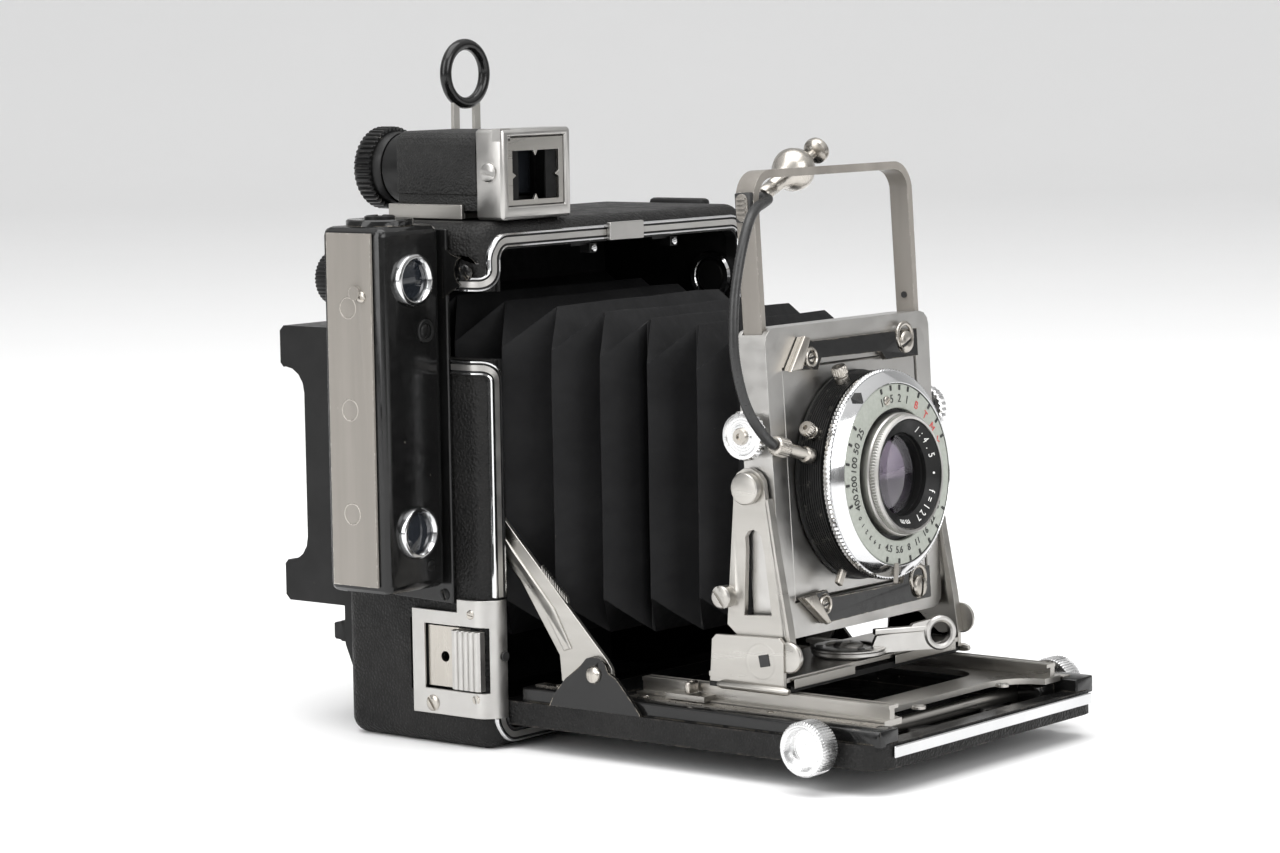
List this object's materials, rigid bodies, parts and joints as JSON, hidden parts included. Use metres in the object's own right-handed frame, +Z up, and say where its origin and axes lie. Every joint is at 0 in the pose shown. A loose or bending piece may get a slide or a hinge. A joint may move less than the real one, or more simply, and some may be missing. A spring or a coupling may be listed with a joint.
{
  "type": "folding press camera",
  "caption": "Folding press camera, opened: leather box body, drop bed with focusing track, bellows, leaf-shutter lens, side rangefinder, finders and cable release.",
  "frame": {"origin": "on the table, under the middle of the body", "axes": "-Y is the way the lens looks, +Z up, -X the rangefinder side"},
  "size_m": [0.163, 0.2084, 0.1939],
  "materials": {
    "black_leather": "pebbled, semi-gloss",
    "black_enamel": "gloss with small chips",
    "black_paint": "satin",
    "crinkle_black": "fine crinkle",
    "worn_nickel": "brushed and scratched",
    "satin_chrome": "satin",
    "bright_chrome": "polished",
    "chrome_trim": "polished with black lines",
    "spun_aluminium": "spun faces, knurled edge",
    "dial_enamel": "satin grey with engraved figures",
    "coated_glass": "coated, purple reflection",
    "ground_glass": "ground",
    "bellows_cloth": "matte, fine grain",
    "cable_sheath": "tightly wound, satin"
  },
  "bodies": {
    "camera_body": {"body_shell": "black_leather", "front_trim": "chrome_trim", "release_plate": "satin_chrome", "carry_strap": "black_leather", "rangefinder_base": "black_enamel", "rangefinder_housing": "black_enamel", "rangefinder_cover": "worn_nickel", "upper_window": "chrome_trim", "lower_window": "chrome_trim", "rangefinder_eyepiece": "black_paint", "accessory_shoe": "chrome_trim", "viewfinder_housing": "crinkle_black", "viewfinder_hood": "satin_chrome", "viewfinder_mask": "satin_chrome", "viewfinder_lens": "coated_glass", "peep_sight_bracket": "black_paint", "back_frame": "black_paint", "bellows": "bellows_cloth"},
    "bed_release": {"release_slider": "satin_chrome"},
    "finder_eyepiece": {"viewfinder_eyepiece": "black_paint"},
    "rear_sight": {"peep_sight": "black_enamel"},
    "upper_slide_lock": {"slide_lock_top": "black_paint"},
    "lower_slide_lock": {"slide_lock_bottom": "black_paint"},
    "focusing_back": {"focusing_panel": "black_paint", "ground_glass": "ground_glass"},
    "hood": {"hood_cover": "black_paint"},
    "bed": {"bed_panel": "black_leather", "bed_edge_strip": "chrome_trim"},
    "left_strut": {"left_brace": "satin_chrome"},
    "right_strut": {"right_brace": "satin_chrome"},
    "focus_drive": {"focus_shaft": "spun_aluminium"},
    "track": {"focusing_track": "worn_nickel"},
    "left_stop": {"infinity_stop_left": "worn_nickel"},
    "right_stop": {"infinity_stop_right": "worn_nickel"},
    "carriage": {"carriage_base": "worn_nickel", "swing_base": "satin_chrome"},
    "lever": {"lock_lever": "satin_chrome"},
    "uprights": {"left_arm": "satin_chrome", "right_arm": "satin_chrome"},
    "tilt_clamp": {"tilt_knob": "worn_nickel"},
    "front_standard": {"lens_frame": "satin_chrome", "lens_board": "satin_chrome", "bottom_clip": "black_enamel", "shutter_case": "black_paint", "dial_plate": "dial_enamel", "lens_barrel": "black_paint", "front_glass": "coated_glass", "rear_cell": "black_paint", "cable_ferrule": "worn_nickel"},
    "board_clip": {"top_clip": "black_enamel"},
    "left_clamp": {"left_rise_knob": "spun_aluminium"},
    "right_clamp": {"right_rise_knob": "spun_aluminium"},
    "speed_setting": {"speed_ring": "bright_chrome"},
    "aperture_setting": {"aperture_lever": "worn_nickel"},
    "shutter_cocking": {"cocking_lever": "worn_nickel"},
    "sports_finder_frame": {"sports_finder": "worn_nickel", "cable_head": "worn_nickel", "release_cable": "cable_sheath"},
    "release_plunger": {"cable_plunger": "worn_nickel"}
  },
  "joints": [
    {"name": "bed_release_slide", "type": "slide", "parent": "camera_body", "child": "bed_release", "axis": [0, 1, 0], "range_m": [0, 0.009], "stiffness_N_per_m": 120, "springref_m": -0.004},
    {"name": "eyepiece_turn", "type": "hinge", "parent": "camera_body", "child": "finder_eyepiece", "pos_m": [-0.0355, 0.023, 0.1581], "axis": [0, 1, 0], "range_deg": [-30, 30]},
    {"name": "rear_sight_slide", "type": "slide", "parent": "camera_body", "child": "rear_sight", "axis": [0, 0, 1], "range_m": [-0.018, 0]},
    {"name": "upper_lock_slide", "type": "slide", "parent": "camera_body", "child": "upper_slide_lock", "axis": [1, 0, 0], "range_m": [0, 0.005]},
    {"name": "lower_lock_slide", "type": "slide", "parent": "camera_body", "child": "lower_slide_lock", "axis": [1, 0, 0], "range_m": [0, 0.005]},
    {"name": "focusing_back_slide", "type": "slide", "parent": "camera_body", "child": "focusing_back", "axis": [0, 1, 0], "range_m": [0, 0.008], "stiffness_N_per_m": 400, "springref_m": -0.004},
    {"name": "hood_hinge", "type": "hinge", "parent": "focusing_back", "child": "hood", "pos_m": [0, 0.0557, 0.0992], "axis": [1, 0, 0], "range_deg": [0, 100]},
    {"name": "bed_drop", "type": "hinge", "parent": "camera_body", "child": "bed", "pos_m": [0, -0.026, 0.0075], "axis": [1, 0, 0], "range_deg": [0, 15], "deforming": ["bellows"]},
    {"name": "left_brace_pivot", "type": "hinge", "parent": "bed", "child": "left_strut", "pos_m": [-0.051, -0.058, 0.0234], "axis": [1, 0, 0], "range_deg": [-12.3, 0]},
    {"name": "right_brace_pivot", "type": "hinge", "parent": "bed", "child": "right_strut", "pos_m": [0.051, -0.058, 0.0234], "axis": [1, 0, 0], "range_deg": [-12.3, 0]},
    {"name": "focus_knob_turn", "type": "hinge", "parent": "bed", "child": "focus_drive", "pos_m": [0, -0.1333, 0.0124], "axis": [1, 0, 0], "range_deg": [-453, 0]},
    {"name": "track_slide", "type": "slide", "parent": "bed", "child": "track", "axis": [0, -1, 0], "range_m": [0, 0.03], "deforming": ["bellows"]},
    {"name": "left_stop_fold", "type": "hinge", "parent": "track", "child": "left_stop", "pos_m": [-0.043, -0.082, 0.0196], "axis": [1, 0, 0], "range_deg": [-90, 0]},
    {"name": "right_stop_fold", "type": "hinge", "parent": "track", "child": "right_stop", "pos_m": [0.043, -0.082, 0.0196], "axis": [1, 0, 0], "range_deg": [-90, 0]},
    {"name": "carriage_slide", "type": "slide", "parent": "track", "child": "carriage", "axis": [0, -1, 0], "range_m": [-0.0022, 0.012], "deforming": ["bellows"]},
    {"name": "lock_lever_swing", "type": "hinge", "parent": "carriage", "child": "lever", "pos_m": [-0.001, -0.105, 0.027], "axis": [0, 0, 1], "range_deg": [-60, 8]},
    {"name": "standard_tilt", "type": "hinge", "parent": "carriage", "child": "uprights", "pos_m": [0, -0.109, 0.031], "axis": [1, 0, 0], "range_deg": [-11.7, 3.3], "deforming": ["bellows"]},
    {"name": "tilt_knob_turn", "type": "hinge", "parent": "uprights", "child": "tilt_clamp", "pos_m": [0.041, -0.0936, 0.04614], "axis": [1, 0, 0], "range_deg": [0, 270]},
    {"name": "front_rise", "type": "slide", "parent": "uprights", "child": "front_standard", "axis": [0, 0.0576, 0.9983], "range_m": [0, 0.012], "deforming": ["bellows"]},
    {"name": "board_clip_slide", "type": "slide", "parent": "front_standard", "child": "board_clip", "axis": [0, 0.0576, 0.9983], "range_m": [0, 0.0025]},
    {"name": "left_rise_knob_turn", "type": "hinge", "parent": "front_standard", "child": "left_clamp", "pos_m": [-0.0406, -0.10152, 0.08947], "axis": [-1, 0, 0], "range_deg": [0, 270]},
    {"name": "right_rise_knob_turn", "type": "hinge", "parent": "front_standard", "child": "right_clamp", "pos_m": [0.0406, -0.10152, 0.08947], "axis": [1, 0, 0], "range_deg": [0, 270]},
    {"name": "speed_ring_turn", "type": "hinge", "parent": "front_standard", "child": "speed_setting", "pos_m": [0, -0.10774, 0.0755], "axis": [0, -0.9983, 0.0576], "range_deg": [-110, 110]},
    {"name": "aperture_turn", "type": "hinge", "parent": "front_standard", "child": "aperture_setting", "pos_m": [0, -0.10774, 0.0755], "axis": [0, -0.9983, 0.0576], "range_deg": [-30, 40]},
    {"name": "cocking_turn", "type": "hinge", "parent": "front_standard", "child": "shutter_cocking", "pos_m": [0, -0.10774, 0.0755], "axis": [0, -0.9983, 0.0576], "range_deg": [-38, 0]},
    {"name": "sports_finder_slide", "type": "slide", "parent": "front_standard", "child": "sports_finder_frame", "axis": [0, 0.0576, 0.9983], "range_m": [-0.028, 0], "deforming": ["release_cable"]},
    {"name": "plunger_press", "type": "slide", "parent": "sports_finder_frame", "child": "release_plunger", "axis": [-0.9177, -0.018, -0.3968], "range_m": [0, 0.0045], "stiffness_N_per_m": 150, "springref_m": -0.002}
  ],
  "couplings": [
    {"joint": "left_brace_pivot", "follows": "bed_drop", "ratio": -0.815},
    {"joint": "right_brace_pivot", "follows": "bed_drop", "ratio": -0.815},
    {"joint": "focus_knob_turn", "follows": "track_slide", "rad_per_m": -263.16}
  ]
}
